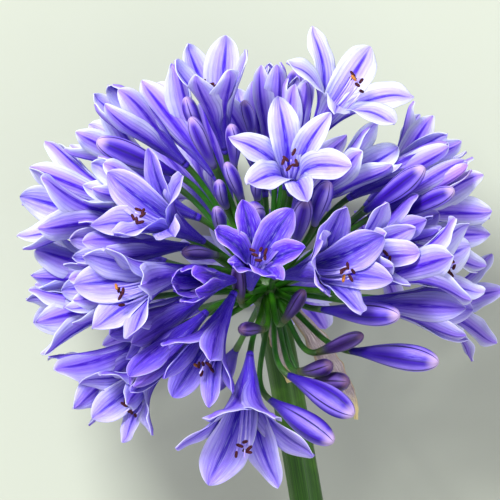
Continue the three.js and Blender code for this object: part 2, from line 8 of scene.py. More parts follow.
import bpy
import numpy as np
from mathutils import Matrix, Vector

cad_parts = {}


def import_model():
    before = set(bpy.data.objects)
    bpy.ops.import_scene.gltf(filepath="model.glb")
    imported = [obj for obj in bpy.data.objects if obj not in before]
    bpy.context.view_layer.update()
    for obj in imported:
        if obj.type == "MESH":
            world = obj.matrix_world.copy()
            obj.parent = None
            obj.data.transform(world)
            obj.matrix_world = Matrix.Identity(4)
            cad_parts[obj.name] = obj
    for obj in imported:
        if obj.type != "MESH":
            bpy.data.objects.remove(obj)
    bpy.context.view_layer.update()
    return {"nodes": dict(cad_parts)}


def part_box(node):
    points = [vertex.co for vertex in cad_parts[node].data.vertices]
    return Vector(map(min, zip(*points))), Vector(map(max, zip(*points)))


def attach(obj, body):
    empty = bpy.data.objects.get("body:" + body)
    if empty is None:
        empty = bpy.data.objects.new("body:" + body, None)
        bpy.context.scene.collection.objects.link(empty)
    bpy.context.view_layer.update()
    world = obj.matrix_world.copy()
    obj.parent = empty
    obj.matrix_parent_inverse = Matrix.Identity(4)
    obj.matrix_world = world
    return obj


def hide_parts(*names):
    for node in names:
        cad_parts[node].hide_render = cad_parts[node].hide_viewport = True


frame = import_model()

MM = 0.001
SURFACE_GAP = 0.15  # petals that lie on the floor are pressed flat this far above it

# ---- sizes, as in the solids
HUB_HEIGHT = 84.0
HUB_RADIUS = 8.5
SCAPE_RADIUS = 6.6
CUT_RADIUS = 7.4
SCAPE_REACH = 245.0
SCAPE_SWAY = 34.0
PEDICEL_RADIUS = 1.15
TUBE_LENGTH = 13.0
BASE_RADIUS = 1.7
THROAT_RADIUS = 3.7
TEPAL_LENGTH = 34.0
INNER_HALF_WIDTH = 7.0
OUTER_HALF_WIDTH = 5.9
SOLID_THICKNESS = 0.75
MIDRIB_STEPS = 20
FOLD_ROWS = (9, 17, 20)
TEPALS = 6
THROAT_SLOPE = 11.0
OPEN_SLOPE = 62.0
CLOSE_SLOPE = 46.0
CLEAR = 0.6
STRETCH = 3.0
FOLDS = (0, 6, -6, 12, -12, 18, -18, 25, -25, 32, 40, 48)
UNDER_SITES = 36
UNDER_LOW = -0.98
UNDER_HIGH = -0.3
UNDER_APART = 24.0
UNDER_REACH = 46.0
UNDER_REACH_MORE = 9.0
UNDER_BUD = {"length": 36, "radius": 4.5}
GOLDEN_ANGLE = 137.508
SCAPE_HEADING = 278.0
SCAPE_SIDE = 62.0
SCAPE_SIDE_LOW = -0.8
FLORET_SPREAD = 19.0  # how far a wide open floret's room reaches beyond its throat
FLORET_MARGIN = 1.2
BUD_MARGIN = 1.0
ROOM_EDGE = 1.1  # share of a floret's room up to which a point counts as in it
OWN_EDGE = 1.06  # how much lower than the other's a point's share of its own room has to be

# x and y of the far end, heading, tilt, reach of the base, how open, roll, size,
# then how deep the violet is (0 pale to 1 deep), which is partly the floret's own colour and partly painted
# shade on florets that lie in shade within the head, and how pink
OPEN_FLORETS = [
    (9, 56, 90, 64, 50, 0.92, 44, 1, 0.3, 0.1),
    (34, 12, 13, 50, 46, 0.72, 53, 1.1, 0.72, 0.1),
    (-64, 2, 190, 35, 48, 0.75, 25, 1.18, 0.5, 0.05),
    (-53, 35, 150, 45, 50, 0.8, 17, 1.06, 0.72, 0.05),
    (-97, 31, 176, 14, 62, 0.55, 10, 1.1, 0.25, 0.0),
    (-93, 48, 158, -14, 59.6, 0.55, 30, 1.05, 0.05, 0.0),
    (-24, 93, 100, 35, 66, 0.5, 0, 1, 0.25, 0.0),
    (-48, 84, 125, -5, 53, 0.5, 20, 1.05, 0.1, 0.0),
    (34, 86, 57, 33, 62, 0.95, 30, 1.18, 0.2, 0.0),
    (46, 56, 35, 25, 42, 0.55, 15, 1, 0.0, 0.0),
    (86, 38, 12, -10, 54, 0.55, 0, 1, 0.05, 0.0),
    (77, 15, 18, 14, 52, 0.75, 30, 1.12, 0.25, 0.05),
    (53, 18, 15, 38, 40, 0.55, 0, 0.95, 0.35, 0.5),
    (81, -8, -4, 10, 38.5, 0.4, 30, 1.05, 0.5, 0.1),
    (-10, -63, 266, 40, 46, 0.82, 0, 1.28, 0.6, 0.1),
    (-31, -35, 243, 33, 44, 0.65, 20, 1.02, 0.85, 0.0),
    (-3, 21, 78, 58, 42, 0.75, 0, 0.85, 1.0, 0.0),
    (-93, 10, 172, 0, 50, 0.55, 0, 1.05, 0.2, 0.0),
    (-93, -12, 191, 6, 52, 0.6, 30, 1.05, 0.3, 0.0),
    (-80, -40, 210, -4, 51, 0.6, 0, 1.05, 0.5, 0.0),
    (-62, -47, 222, 30, 52, 0.75, 20, 0.88, 0.6, 0.1),
    (-57, -20, 210, 22, 38, 0.5, 10, 0.95, 0.75, 0.1),
    (-76, 66, 148, -4, 57, 0.5, 20, 1, 0.05, 0.0),
    (-70, 46, 158, 15, 50, 0.45, 0, 1, 0.1, 0.0),
    (70, 66, 47, -5, 54.2, 0.55, 10, 0.95, 0.15, 0.0),
    (87, 22, 0, -8, 48.6, 0.55, 30, 1, 0.1, 0.0),
    (65, 29, 24, 18, 42, 0.5, 30, 0.92, 0.6, 0.2),
    (-80, -2, 186, 14, 46, 0.45, 15, 1, 0.3, 0.0),
]
HALF_OPEN_FLORETS = [
    (-76, 16, 182, 25, 50, 0.3, 0, 1, 0.5, 0.3),
    (-65, 80, 137, 25, 63, 0.25, 0, 1, 0.3, 0.0),
    (14, 84, 81, 20, 46.6, 0.3, 0, 0.95, 0.2, 0.6),
    (72, 59, 29, 20, 55, 0.3, 0, 1, 0.3, 0.1),
    (79, 52, 31, 6, 60, 0.3, 20, 0.9, 0.35, 0.8),
    (-34, 3, 183, 62, 47, 0.25, 0, 0.85, 1.0, 0.1),
    (-55, -38, 224, 30, 48, 0.3, 0, 1, 0.85, 0.2),
    (0, 92, 93, 10, 46.7, 0.25, 0, 1, 0.3, 0.0),
]
INNER_FLORETS = [
    (-9, 82, 100, -4, 39, 0.5, 50, 0.95, 0.1, 0.0),
    (-26, 73, 105, -17, 36, 0.5, 30, 0.95, 0.1, 0.0),
]
# x and y of the far end, heading, tilt, reach of the base, length, radius
LARGE_BUDS = [
    (-69, 60, 157, 26, 62, 38, 5.2),
    (11.5, 90, 83, -12, 58.5, 33, 4.4),
    (62, 49, 37, 37, 60, 36, 4.4),
    (74, 40, 27, 40, 69, 30, 3.8),
    (52, -10, -4, 36, 45, 38, 4.8),
    (68, -29, -7, 28, 50, 40, 5.4),
    (34, -50, -31, 33, 45, 36, 5.2),
    (26, -61, -33, 33, 50, 36, 5.2),
]
SMALL_BUDS = [
    (38, -18, 22, 37, 42, 24, 2.9),
    (14, 0, 58, 43, 40, 20, 2.6),
    (25, -30, 14, 50, 42, 20, 3.2),
    (32, -37, 3, 48, 46, 22, 3.6),
    (-12, 10, 94, 48, 32, 22, 2.9),
    (-11, -16, 180, 62, 38, 18, 2.6),
    (-34, 15, 175, 53, 44, 22, 2.7),
    (-6, 32, 100, 78, 40, 26, 4.4),
    (-21, 33, 100, 60, 38, 22, 2.6),
    (15, 36, 77, 46, 40, 26, 3.6),
    (24, 43, 72, 48, 46, 26, 3.4),
    (-33, 77, 114, 46, 71, 26, 2.8),
    (-31, 69, 115, 40, 61, 28, 3.0),
    (-10, 76, 104, 48, 66, 20, 2.4),
    (-15, 66, 94, 49, 62, 24, 2.8),
    (-17, 51, 113, 45, 45, 22, 2.6),
    (-20, 44, 106, 53, 42, 18, 2.4),
    (-4, 46, 88, 55, 44, 16, 2.4),
]
RESTING_FLORETS = [(196, -52), (18, -50)]  # heading, tilt
RESTING_LOOK = (0.9, 20, 1, 0.35, 0.1)  # how open, roll, size, depth, pink
RESTING_REACH = 60
BRACTS = [
    {
        "points": [
            (11, -9, -7),
            (20, -20, -7),
            (26, -31, -5),
            (32, -40, -3),
            (35.5, -47, -1),
            (36, -53, 1),
        ],
        "widths": (5, 9, 10, 6, 2.4, 1.6),
        "facing": (0.3, 0.2, 1),
        "cup": 0.35,
    },
    {
        "points": [(0.7, -11, 4.2), (3.2, -20, 2.2), (6.2, -30, 0.9), (8.7, -38, 1.4)],
        "widths": (4, 6, 5, 2),
        "facing": (-0.2, 0.1, 1),
        "cup": 0.3,
    },
]


# ---- the same forms and places as the solids
def chance(seed):
    """A number from 0 to 1 that depends on the seed alone."""
    x = math.sin(seed * 12.9898) * 43758.5453
    return x - math.floor(x)


def smooth(x, low, high):
    """Rises from 0 at low to 1 at high, with a soft start and end."""
    t = np.clip((np.asarray(x, float) - low) / (high - low), 0, 1)
    return t * t * (3 - 2 * t)


def slope(floret, tepal, t):
    """Slope of a tepal's midrib from its floret's axis, in degrees."""
    spread = floret["open"] * OPEN_SLOPE * smooth(t, 0, 0.9)
    closing = (1 - floret["open"]) * CLOSE_SLOPE * smooth(t, 0.35, 1)
    own = floret["lean"][tepal] * t - floret["fold"][tepal] * smooth(t, 0, 0.5)
    return THROAT_SLOPE + spread - closing + own


def midrib(floret, tepal, steps=MIDRIB_STEPS, curl=0.0):
    """Arrays along a tepal: how far out and up its midrib is, and its slope in radians."""
    t = np.arange(steps + 1) / steps
    angle = np.radians(slope(floret, tepal, t) + curl * smooth(t, 0.66, 1))
    step = TEPAL_LENGTH * floret["size"] / steps
    out = np.empty(steps + 1)
    out[0] = THROAT_RADIUS
    for i in range(steps):
        out[i + 1] = max(out[i] + math.sin(angle[i]) * step, 0.8)
    up = TUBE_LENGTH + np.concatenate([[0], np.cumsum(np.cos(angle[:-1]) * step)])
    return out, up, angle


def floret_form(seed, is_open, roll, size, depth, pink):
    """A floret that isn't placed yet. Its length is taken before each tepal gets a lean of its own."""
    form = {"seed": seed, "open": is_open, "roll": roll, "size": size, "depth": depth, "pink": pink}
    form["lean"] = [0.0] * TEPALS
    form["fold"] = [0.0] * TEPALS
    form["length"] = float(midrib(form, 0)[1][-1])
    form["lean"] = [(chance(seed + k * 0.37) - 0.5) * 16 for k in range(TEPALS)]
    return form


def bud_radius(bud, s):
    """Radius of a bud at a share s of its length: a club that ends in a blunt point."""
    club = np.sin(np.minimum(s / 0.68, 1) * np.pi / 2) ** 1.5
    point = np.sqrt(np.maximum(1 - (np.maximum(s - 0.68, 0) / 0.32) ** 2, 0))
    foot = BASE_RADIUS * 0.8
    return (foot + (bud["radius"] - foot) * club) * point


def axes(heading, tilt):
    """The own axes of a floret or bud that points to a heading and a tilt, given in degrees."""
    h, t = math.radians(heading), math.radians(tilt)
    return {
        "side": np.array([-math.sin(h), math.cos(h), 0]),
        "up": np.array([-math.sin(t) * math.cos(h), -math.sin(t) * math.sin(h), math.cos(t)]),
        "along": np.array([math.cos(t) * math.cos(h), math.cos(t) * math.sin(h), math.sin(t)]),
    }


def world(plant, local):
    """Points given in a floret's or bud's own axes, from its base, as points from the hub."""
    basis = np.array([plant["side"], plant["up"], plant["along"]])
    return plant["base"] + local @ basis


def place_by_end(name, form, x, y, heading, tilt, reach):
    """A floret or bud whose far end lies over x, y and whose base is at its reach from the hub."""
    placed = {"name": name, **form, **axes(heading, tilt)}
    base = np.array([x, y, 0.0]) - placed["along"] * form["length"]
    base[2] = math.sqrt(max(reach**2 - base[0] ** 2 - base[1] ** 2, 0))
    placed["base"] = base
    return placed


def place_outward(name, form, heading, tilt, reach):
    """A floret or bud that points straight away from the hub, and ends above the floor."""
    placed = {"name": name, **form, **axes(heading, tilt)}
    breadth = form.get("radius", 6 + 15 * form.get("open", 0))
    room = (HUB_HEIGHT - CLEAR - breadth * placed["up"][2]) / -placed["along"][2]
    placed["base"] = placed["along"] * min(reach, room - form["length"] - STRETCH)
    return placed


def blooming(rows, name, first_seed):
    return [
        place_by_end(name + str(i + 1), floret_form(first_seed + i, *row[5:]), *row[:5])
        for i, row in enumerate(rows)
    ]


def budding(rows, name):
    return [
        place_by_end(name + str(i + 1), {"length": row[5], "radius": row[6]}, *row[:5])
        for i, row in enumerate(rows)
    ]


open_florets = blooming(OPEN_FLORETS, "open_floret_", 1)
half_open_florets = blooming(HALF_OPEN_FLORETS, "half_open_floret_", 31)
inner_florets = blooming(INNER_FLORETS, "inner_floret_", 41)
large_buds = budding(LARGE_BUDS, "bud_")
small_buds = budding(SMALL_BUDS, "small_bud_")
resting_florets = [
    place_outward(f"resting_floret_{i + 1}", floret_form(51 + i, *RESTING_LOOK), *row, RESTING_REACH)
    for i, row in enumerate(RESTING_FLORETS)
]


def angle_between(a, b):
    cosine = a @ b / np.linalg.norm(a) / np.linalg.norm(b)
    return math.degrees(math.acos(max(-1.0, min(1.0, cosine))))


def under_side():
    """The florets and buds of the under side, along the same golden spiral as the solids'."""
    placed = open_florets + half_open_florets + large_buds + resting_florets
    found = []
    for i in range(UNDER_SITES):
        down = UNDER_LOW + (UNDER_HIGH - UNDER_LOW) * i / (UNDER_SITES - 1)
        heading = (i * GOLDEN_ANGLE) % 360
        tilt = math.degrees(math.asin(down))
        along = axes(heading, tilt)["along"]
        crowded = any(angle_between(f["base"], along) < UNDER_APART for f in placed + found)
        beside = abs((heading - SCAPE_HEADING + 540) % 360 - 180) < SCAPE_SIDE and down > SCAPE_SIDE_LOW
        if crowded or beside:
            continue
        number = len(found) + 1
        reach = UNDER_REACH + UNDER_REACH_MORE * chance(i + 0.3)
        if number % 3:
            form = floret_form(60 + i, 0.7 + 0.2 * chance(i), 60 * chance(i + 0.6), 1, 0.3, 0.1)
            found.append(place_outward(f"under_floret_{number}", form, heading, tilt, reach))
        else:
            found.append(place_outward(f"under_bud_{number}", UNDER_BUD, heading, tilt, reach))
    return found


under = under_side()
upper_florets = open_florets + half_open_florets + inner_florets
florets = upper_florets + resting_florets + [f for f in under if "radius" not in f]
buds = large_buds + [f for f in under if "radius" in f]
everyone = florets + buds + small_buds


class Rooms:
    """The room that each floret and bud takes, for all of them at once."""

    def __init__(self):
        self.base = np.array([f["base"] for f in everyone])
        self.along = np.array([f["along"] for f in everyone])
        self.length = np.array([f["length"] for f in everyone], float)
        self.open = np.array([f.get("open", 0) for f in everyone], float)
        self.radius = np.array([f.get("radius", 0) for f in everyone], float)

    def shares(self, point):
        """How far the point is from each one's axis, as a share of the room there: under 1 is inside."""
        off = point - self.base
        high = np.clip(np.sum(off * self.along, 1), 0, self.length)
        away = np.linalg.norm(off - self.along * high[:, None], axis=1)
        wide = self.open * FLORET_SPREAD * smooth(high, TUBE_LENGTH * 0.6, self.length)
        floret = THROAT_RADIUS + FLORET_MARGIN + wide
        s = np.clip(high / self.length, 0.1, 0.8)
        bud = bud_radius({"radius": self.radius}, s) + BUD_MARGIN
        return away / np.where(self.radius > 0, bud, floret)

    def taken(self, point, mine):
        """Whether a point of one floret lies in another's room.

        Where two florets' rooms overlap, the point belongs to the one of which its share is lower.
        """
        shares = self.shares(point)
        in_bud = shares < 1
        in_floret = (shares < ROOM_EDGE) & (shares < shares[mine] * OWN_EDGE)
        found = np.where(self.radius > 0, in_bud, in_floret)
        found[mine] = False
        return found.any()


def count_hits(rooms, mine, tepal):
    """How many test points of a solid's tepal lie in another's room or too near the floor."""
    floret = florets[mine]
    around = math.radians(floret["roll"]) + tepal * 2 * math.pi / TEPALS
    out, up, angle = midrib(floret, tepal)
    hits = 0
    for step in FOLD_ROWS:
        half = solid_half_width(floret, tepal, step / MIDRIB_STEPS, out[step], angle[step])
        for across in (-1, 0, 1):
            lift = across * across * half * half / (2 * out[step])
            radial = out[step] - math.cos(angle[step]) * lift
            sideways = half * across
            local = [
                math.cos(around) * radial - math.sin(around) * sideways,
                math.sin(around) * radial + math.cos(around) * sideways,
                up[step] + math.sin(angle[step]) * lift,
            ]
            point = world(floret, np.array(local))
            low = point[2] + HUB_HEIGHT < CLEAR + SOLID_THICKNESS
            hits += bool(low or rooms.taken(point, mine))
    return hits


def bend_clear():
    """Bends each tepal by the first angle that keeps it in its floret's own room, as in the solids."""
    rooms = Rooms()
    for mine, floret in enumerate(florets):
        for tepal in range(TEPALS):
            best = (math.inf, 0)
            for fold in FOLDS:
                floret["fold"][tepal] = fold
                hits = count_hits(rooms, mine, tepal)
                if hits < best[0]:
                    best = (hits, fold)
                if hits == 0:
                    break
            floret["fold"][tepal] = best[1]


def solid_half_width(floret, tepal, t, out, angle):
    """Half of a solid's tepal's breadth, kept inside its sixth of the floret."""
    nearest = out * (1 - 0.14 * abs(math.cos(angle))) - SOLID_THICKNESS / 2
    return min(float(free_half_width(floret, tepal, t)), nearest * math.tan(math.pi / TEPALS) * 0.96)


def free_half_width(floret, tepal, t):
    """Half of a solid's tepal's breadth, where nothing else limits it."""
    widest = (OUTER_HALF_WIDTH if tepal % 2 else INNER_HALF_WIDTH) * floret["size"]
    swell = 0.36 + 0.64 * np.sin(np.minimum(t / 0.6, 1) * np.pi / 2)
    taper = np.maximum(1 - np.maximum((np.asarray(t) - 0.6) / 0.4, 0) ** 2.4, 0) ** 0.6
    return widest * swell * taper


bend_clear()


def vertices_of(node):
    mesh = frame["nodes"][node].data
    flat = np.empty(len(mesh.vertices) * 3)
    mesh.vertices.foreach_get("co", flat)
    return flat.reshape(-1, 3) / MM


def hub_place():
    """Where the hub lies in the row frame: a bud's tip as packed, less its place from the hub."""
    bud = large_buds[0]
    points = vertices_of(bud["name"])
    tip = points[np.argmax(points @ bud["along"])]
    return tip - bud["base"] - bud["along"] * bud["length"]


HUB = hub_place()
# the solids' resting florets were lowered onto the floor, so their heights are taken from the solids
for floret in resting_florets:
    highest = max(math.sin(math.radians(floret["roll"] + 60 * k)) for k in range(TEPALS))
    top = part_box(floret["name"])[1].z / MM - HUB[2]
    floret["base"][2] = top - BASE_RADIUS * floret["up"][2] * highest


# ---- mesh code
class Build:
    """Gathers grids of points into one mesh, with a map for patterns and one for a piece's own tint."""

    def __init__(self):
        self.points, self.faces, self.maps, self.tints, self.slots = [], [], [], [], []
        self.count = 0

    def add_points(self, points):
        """Adds points and returns their numbers, in an array like theirs."""
        numbers = self.count + np.arange(points[..., 0].size).reshape(points.shape[:-1])
        self.points.append(points.reshape(-1, 3))
        self.count += numbers.size
        return numbers

    def add_faces(self, corners, uvs, slots, tint, flip):
        """corners and uvs have one array for each corner of the faces, in turn."""
        if flip:
            corners, uvs = corners[::-1], uvs[::-1]
        faces = np.stack(corners, -1).reshape(-1, len(corners))
        self.faces += faces.tolist()
        self.maps.append(np.stack(uvs, -2).reshape(-1, 2))
        self.tints.append(np.tile(np.asarray(tint, float), (faces.size, 1)))
        self.slots.append(slots.reshape(-1))

    def grid(self, points, uv, slot, tint=(0, 0), closed=True, flip=False):
        """Rings of points, rows x columns x 3, where uv has one more column. slot may differ by column."""
        numbers = self.add_points(points)
        index = np.column_stack([numbers, numbers[:, 0]])
        slots = np.broadcast_to(np.asarray(slot), (len(points) - 1, points.shape[1]))
        corners = [index[:-1, :-1], index[:-1, 1:], index[1:, 1:], index[1:, :-1]]
        uvs = [uv[:-1, :-1], uv[:-1, 1:], uv[1:, 1:], uv[1:, :-1]]
        self.add_faces(corners, uvs, slots, tint, flip)
        if closed:
            self.close(numbers[0], points[0], uv[0, 0], slots[0], tint, not flip)
            self.close(numbers[-1], points[-1], uv[-1, 0], slots[-1], tint, flip)

    def close(self, numbers, ring, uv, slots, tint=(0, 0), flip=False):
        """Closes a ring of points with triangles that meet in its middle."""
        middle = np.broadcast_to(self.add_points(ring.mean(0)[None, :]), numbers.shape)
        uvs = [np.broadcast_to(uv, (len(ring), 2))] * 3
        self.add_faces([numbers, np.roll(numbers, -1), middle], uvs, slots, tint, flip)

    def cap(self, ring, slot, flip=False):
        """A flat end with a sharp edge, on points of its own."""
        self.close(self.add_points(ring), ring, (0.5, 0.5), np.full(len(ring), slot), flip=flip)

    def piece(self, name, materials, replaced, ground=None):
        """The mesh as a piece that rides on the body and stands for the CAD nodes that it replaces.

        ground is the lowest height that its points may have.
        """
        points = np.concatenate(self.points) + HUB
        if ground is not None:
            points[:, 2] = np.maximum(points[:, 2], ground)
        mesh = bpy.data.meshes.new(name)
        mesh.from_pydata((points * MM).tolist(), [], self.faces)
        for label, corners in (("Pattern", self.maps), ("Tint", self.tints)):
            layer = mesh.uv_layers.new(name=label)
            layer.data.foreach_set("uv", np.concatenate(corners).reshape(-1))
        mesh.polygons.foreach_set("material_index", np.concatenate(self.slots).astype(np.int32))
        mesh.polygons.foreach_set("use_smooth", np.ones(len(self.faces), bool))
        for material in materials:
            mesh.materials.append(material)
        mesh.update()
        made = bpy.data.objects.new(name, mesh)
        bpy.context.scene.collection.objects.link(made)
        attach(made, "root")
        if replaced:
            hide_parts(*replaced)


def unit(v):
    return v / np.maximum(np.linalg.norm(v, axis=-1, keepdims=True), 1e-9)


def sweep(path, radii, sides, start=(0.31, 0.17, 0.94), shape=None):
    """Rings of points round a path. shape gives the radius round the ring as a share."""
    tangent = unit(np.gradient(path, axis=0))
    across = unit(np.cross(np.asarray(start, float), tangent[0]))
    turn = np.linspace(0, 2 * np.pi, sides, endpoint=False)
    share = np.ones(sides) if shape is None else shape(turn)
    rings = []
    for middle, along, radius in zip(path, tangent, radii):
        across = unit(across - along * (across @ along))
        other = np.cross(along, across)
        ring = np.outer(np.cos(turn) * share, across) + np.outer(np.sin(turn) * share, other)
        rings.append(middle + radius * ring)
    return np.array(rings)


def map_of(u, v):
    """A map for a grid of points, from one value for each column and one for each row."""
    return np.stack(np.broadcast_arrays(u[None, :], v[:, None]), -1)


def wrapped_map(rows, columns, along=None):
    """A map for rings of points: u goes round a ring, and v along the rings, evenly unless it is given."""
    v = np.linspace(0, 1, rows) if along is None else along
    return map_of(np.linspace(0, 1, columns + 1), v)


def two_faces(columns):
    """The columns of a thin blade, across its front and back again behind it.

    Returns how far each is across, from -1 to 1, and 1 for the front and -1 for the back.
    """
    line = np.linspace(-1, 1, columns)
    return np.concatenate([line, line[::-1]]), np.repeat([1.0, -1.0], columns)


def bezier(points, count):
    """Points on the cubic curve of four handles."""
    t = np.linspace(0, 1, count)[:, None]
    a, b, c, d = (np.asarray(p, float) for p in points)
    return (1 - t) ** 3 * a + 3 * (1 - t) ** 2 * t * b + 3 * (1 - t) * t**2 * c + t**3 * d


# ---- materials
def linear(red, green, blue):
    """A colour given in 0 to 255, as it is seen, in the linear values that the nodes take."""
    seen = [c / 255 for c in (red, green, blue)]
    return [c / 12.92 if c <= 0.04045 else ((c + 0.055) / 1.055) ** 2.4 for c in seen] + [1.0]


class Nodes:
    """Short ways to make a material's nodes."""

    def __init__(self, name, roughness=0.5, specular=0.4, subsurface=0.0):
        self.material = bpy.data.materials.new(name)
        self.material.use_nodes = True
        self.tree = self.material.node_tree
        self.shader = self.tree.nodes["Principled BSDF"]
        self.shader.inputs["Roughness"].default_value = roughness
        self.shader.inputs["Specular IOR Level"].default_value = specular
        if subsurface:
            self.shader.inputs["Subsurface Weight"].default_value = subsurface
            self.shader.inputs["Subsurface Radius"].default_value = (0.7, 0.7, 1.0)
            self.shader.inputs["Subsurface Scale"].default_value = 0.0012

    def node(self, kind, **settings):
        made = self.tree.nodes.new("ShaderNode" + kind)
        for key, value in settings.items():
            setattr(made, key, value)
        return made

    def put(self, socket, value):
        if isinstance(value, bpy.types.NodeSocket):
            self.tree.links.new(value, socket)
        else:
            socket.default_value = value

    def math(self, operation, a, b=0.0):
        made = self.node("Math", operation=operation)
        self.put(made.inputs[0], a)
        self.put(made.inputs[1], b)
        return made.outputs[0]

    def times(self, a, b):
        return self.math("MULTIPLY", a, b)

    def from_middle(self, share):
        """Of a share from 0 to 1: 0 at its middle and 1 at both ends."""
        return self.math("ABSOLUTE", self.math("SUBTRACT", self.times(share, 2.0), 1.0))

    def step(self, value, low, high, start=0.0, end=1.0):
        """Goes softly from start, where the value is low, to end, where it is high."""
        made = self.node("MapRange", interpolation_type="SMOOTHSTEP")
        numbers = {"Value": value, "From Min": low, "From Max": high, "To Min": start, "To Max": end}
        for key, number in numbers.items():
            self.put(made.inputs[key], number)
        return made.outputs["Result"]

    def mix(self, share, a, b):
        """The colour a where the share is 0, and b where it is 1."""
        made = self.node("Mix", data_type="RGBA")
        self.put(made.inputs["Factor"], share)
        self.put(made.inputs[6], a)
        self.put(made.inputs[7], b)
        return made.outputs[2]

    def map(self, name):
        """The two values of one of the meshes' maps."""
        split = self.node("SeparateXYZ")
        self.tree.links.new(self.node("UVMap", uv_map=name).outputs[0], split.inputs[0])
        return split.outputs[0], split.outputs[1]

    def noise(self, scale, detail, vector=None):
        made = self.node("TexNoise")
        made.inputs["Scale"].default_value = scale
        made.inputs["Detail"].default_value = detail
        if vector is None:
            vector = self.node("TexCoord").outputs["Object"]
        self.tree.links.new(vector, made.inputs["Vector"])
        return made.outputs[0]

    def combine(self, x, y, z=0.0):
        made = self.node("CombineXYZ")
        for socket, value in zip(made.inputs, (x, y, z)):
            self.put(socket, value)
        return made.outputs[0]

    def bump(self, height, strength, distance):
        made = self.node("Bump")
        made.inputs["Strength"].default_value = strength
        made.inputs["Distance"].default_value = distance
        self.tree.links.new(height, made.inputs["Height"])
        self.tree.links.new(made.outputs[0], self.shader.inputs["Normal"])

    def colour(self, value):
        self.put(self.shader.inputs["Base Color"], value)
        return self.material


def petal_material(name, inside):
    """A tepal's face: pale with a white rim, a dark stripe down the middle and finer veins beside it."""
    n = Nodes(name, roughness=0.46, specular=0.3, subsurface=0.25)
    u, v = n.map("Pattern")
    depth, pink = n.map("Tint")
    aside = n.from_middle(u)
    blotch = n.noise(70.0, 3.0)
    streak = n.noise(6.0, 3.0, n.combine(n.times(u, 10.0), n.times(v, 1.4), pink))
    if inside:
        pale = linear(224, 233, 255)
        middle = linear(194, 181, 255)
        dark = linear(72, 26, 214)
        # the deep colours: the floret's own deeper violet, and also painted shade for florets in shade
        # within the head
        deep_shaded_pale = linear(158, 122, 254)
        deep_shaded_middle = linear(84, 26, 210)
        deep_shaded_dark = linear(38, 4, 148)
        throat = linear(186, 178, 242)
    else:
        pale = linear(220, 226, 255)
        middle = linear(176, 150, 254)
        dark = linear(74, 26, 204)
        # the deep colours: the floret's own deeper violet, and also painted shade for florets in shade
        # within the head
        deep_shaded_pale = linear(136, 94, 248)
        deep_shaded_middle = linear(64, 14, 190)
        deep_shaded_dark = linear(34, 2, 122)
        # the outside's throat: the tube's own deep violet, made darker still as painted shade low down
        # where the tepals crowd together
        throat = linear(54, 14, 184)
    light = n.mix(n.step(aside, 0.25, 0.85), middle, pale)
    # depth mixes a floret towards the deep colours, partly its own deeper violet and partly painted shade
    # where it lies in shade within the head
    deep_and_shaded = n.mix(n.step(aside, 0.45, 1.0), deep_shaded_middle, deep_shaded_pale)
    body = n.mix(depth, light, deep_and_shaded)
    lines = n.mix(depth, dark, deep_shaded_dark)
    # a soft dark band lies under the stripe, broader on a deep floret, and fades towards the tip
    reach = n.math("ADD", n.times(depth, 0.4), 0.36)
    band = n.times(n.step(aside, 0.0, reach, 0.6, 0.0), n.step(v, 0.4, 1.0, 1.0, 0.1))
    body = n.mix(band, body, lines)
    # fine veins beside the stripe
    wave = n.math("SINE", n.times(aside, 27.0))
    fine = n.times(n.step(wave, 0.0, 1.0), n.step(v, 0.3, 0.95, 0.5, 0.06))
    body = n.mix(fine, body, lines)
    # the stripe, narrower towards the tip
    stripe = n.step(aside, 0.04, n.step(v, 0.25, 1.0, 0.3, 0.13), 1.0, 0.0)
    body = n.mix(n.times(stripe, n.step(v, 0.84, 1.0, 1.0, 0.15)), body, lines)
    # the tube and throat, where the inside keeps its stripe; on the outside the dark throat colour is the
    # tube's own violet and partly painted shade
    low = n.step(v, 0.22, 0.44 if inside else 0.56, 1.0, 0.0)
    between = n.times(low, n.step(aside, 0.12, 0.4) if inside else 0.95)
    body = n.mix(n.times(between, 0.7 if inside else 0.95), body, throat)
    # a pink flush towards the tip, then streaks and blotches
    blush = n.times(n.step(v, 0.55, 1.0), n.times(pink, 0.5))
    body = n.mix(blush, body, linear(216, 146, 226))
    body = n.mix(n.times(n.step(streak, 0.45, 0.75), 0.3), body, pale if inside else middle)
    body = n.mix(n.times(n.step(blotch, 0.5, 0.75), 0.3), body, lines)
    # the white rim
    edge = n.times(n.step(aside, 0.9, 0.985), n.step(streak, 0.35, 0.65, 0.1, 0.65))
    body = n.mix(n.times(edge, n.step(v, 0.34, 0.5)), body, linear(230, 242, 255))
    n.bump(n.math("ADD", n.times(wave, 0.25), n.times(streak, 1.2)), 0.55, 0.0004)
    return n.colour(body)


